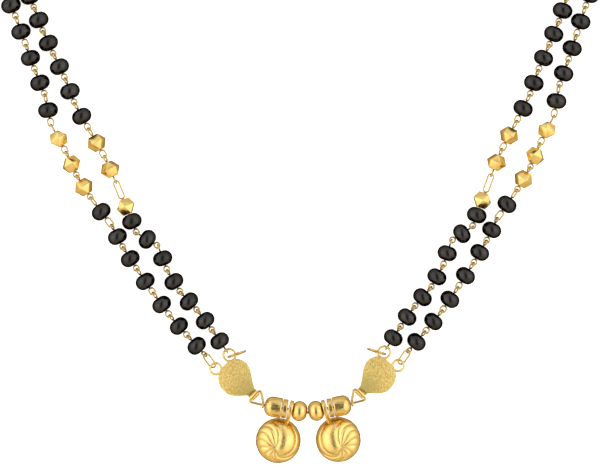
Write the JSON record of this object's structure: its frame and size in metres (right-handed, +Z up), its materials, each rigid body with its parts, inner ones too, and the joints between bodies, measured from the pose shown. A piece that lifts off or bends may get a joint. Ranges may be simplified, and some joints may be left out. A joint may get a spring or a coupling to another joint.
{
  "type": "mangalsutra necklace",
  "caption": "Necklace laid flat: strands of black glass and faceted gold beads on wire links, two matt gold plates and a short wire with balls and domed vatis.",
  "frame": {"origin": "middle of the necklace's outline, on the surface that it lies on", "axes": "+Z up, +Y from the vatis to the clasp, +X to the right as seen from above"},
  "size_m": [0.1442, 0.2026, 0.0046],
  "materials": {
    "black_glass": "glossy opaque black glass",
    "gold": "polished gold plate",
    "matt_gold": "sandblasted gold plate"
  },
  "bodies": {
    "root": {"black_beads_outer_left": "black_glass", "black_beads_outer_right": "black_glass", "black_beads_inner_left": "black_glass", "black_beads_inner_right": "black_glass", "gold_bead_outer_left_1": "gold", "gold_bead_outer_left_2": "gold", "gold_bead_outer_left_3": "gold", "gold_bead_outer_right_1": "gold", "gold_bead_outer_right_2": "gold", "gold_bead_outer_right_3": "gold", "gold_bead_inner_left_1": "gold", "gold_bead_inner_left_2": "gold", "gold_bead_inner_left_3": "gold", "gold_bead_inner_right_1": "gold", "gold_bead_inner_right_2": "gold", "gold_bead_inner_right_3": "gold", "links_outer_left": "gold", "links_outer_right": "gold", "links_inner_left": "gold", "links_inner_right": "gold", "back_wire_outer_left": "gold", "back_wire_outer_right": "gold", "back_wire_inner_left": "gold", "back_wire_inner_right": "gold", "jump_ring_left": "gold", "jump_ring_right": "gold", "loose_ring_left": "gold", "loose_ring_right": "gold", "plate_left": "matt_gold", "plate_right": "matt_gold", "centre_wire": "gold", "ball_outer_left": "gold", "ball_outer_right": "gold", "ball_inner_left": "gold", "ball_inner_right": "gold", "spacer_left": "gold", "spacer_right": "gold", "vati_left": "gold", "vati_right": "gold", "clasp": "gold"}
  },
  "joints": []
}
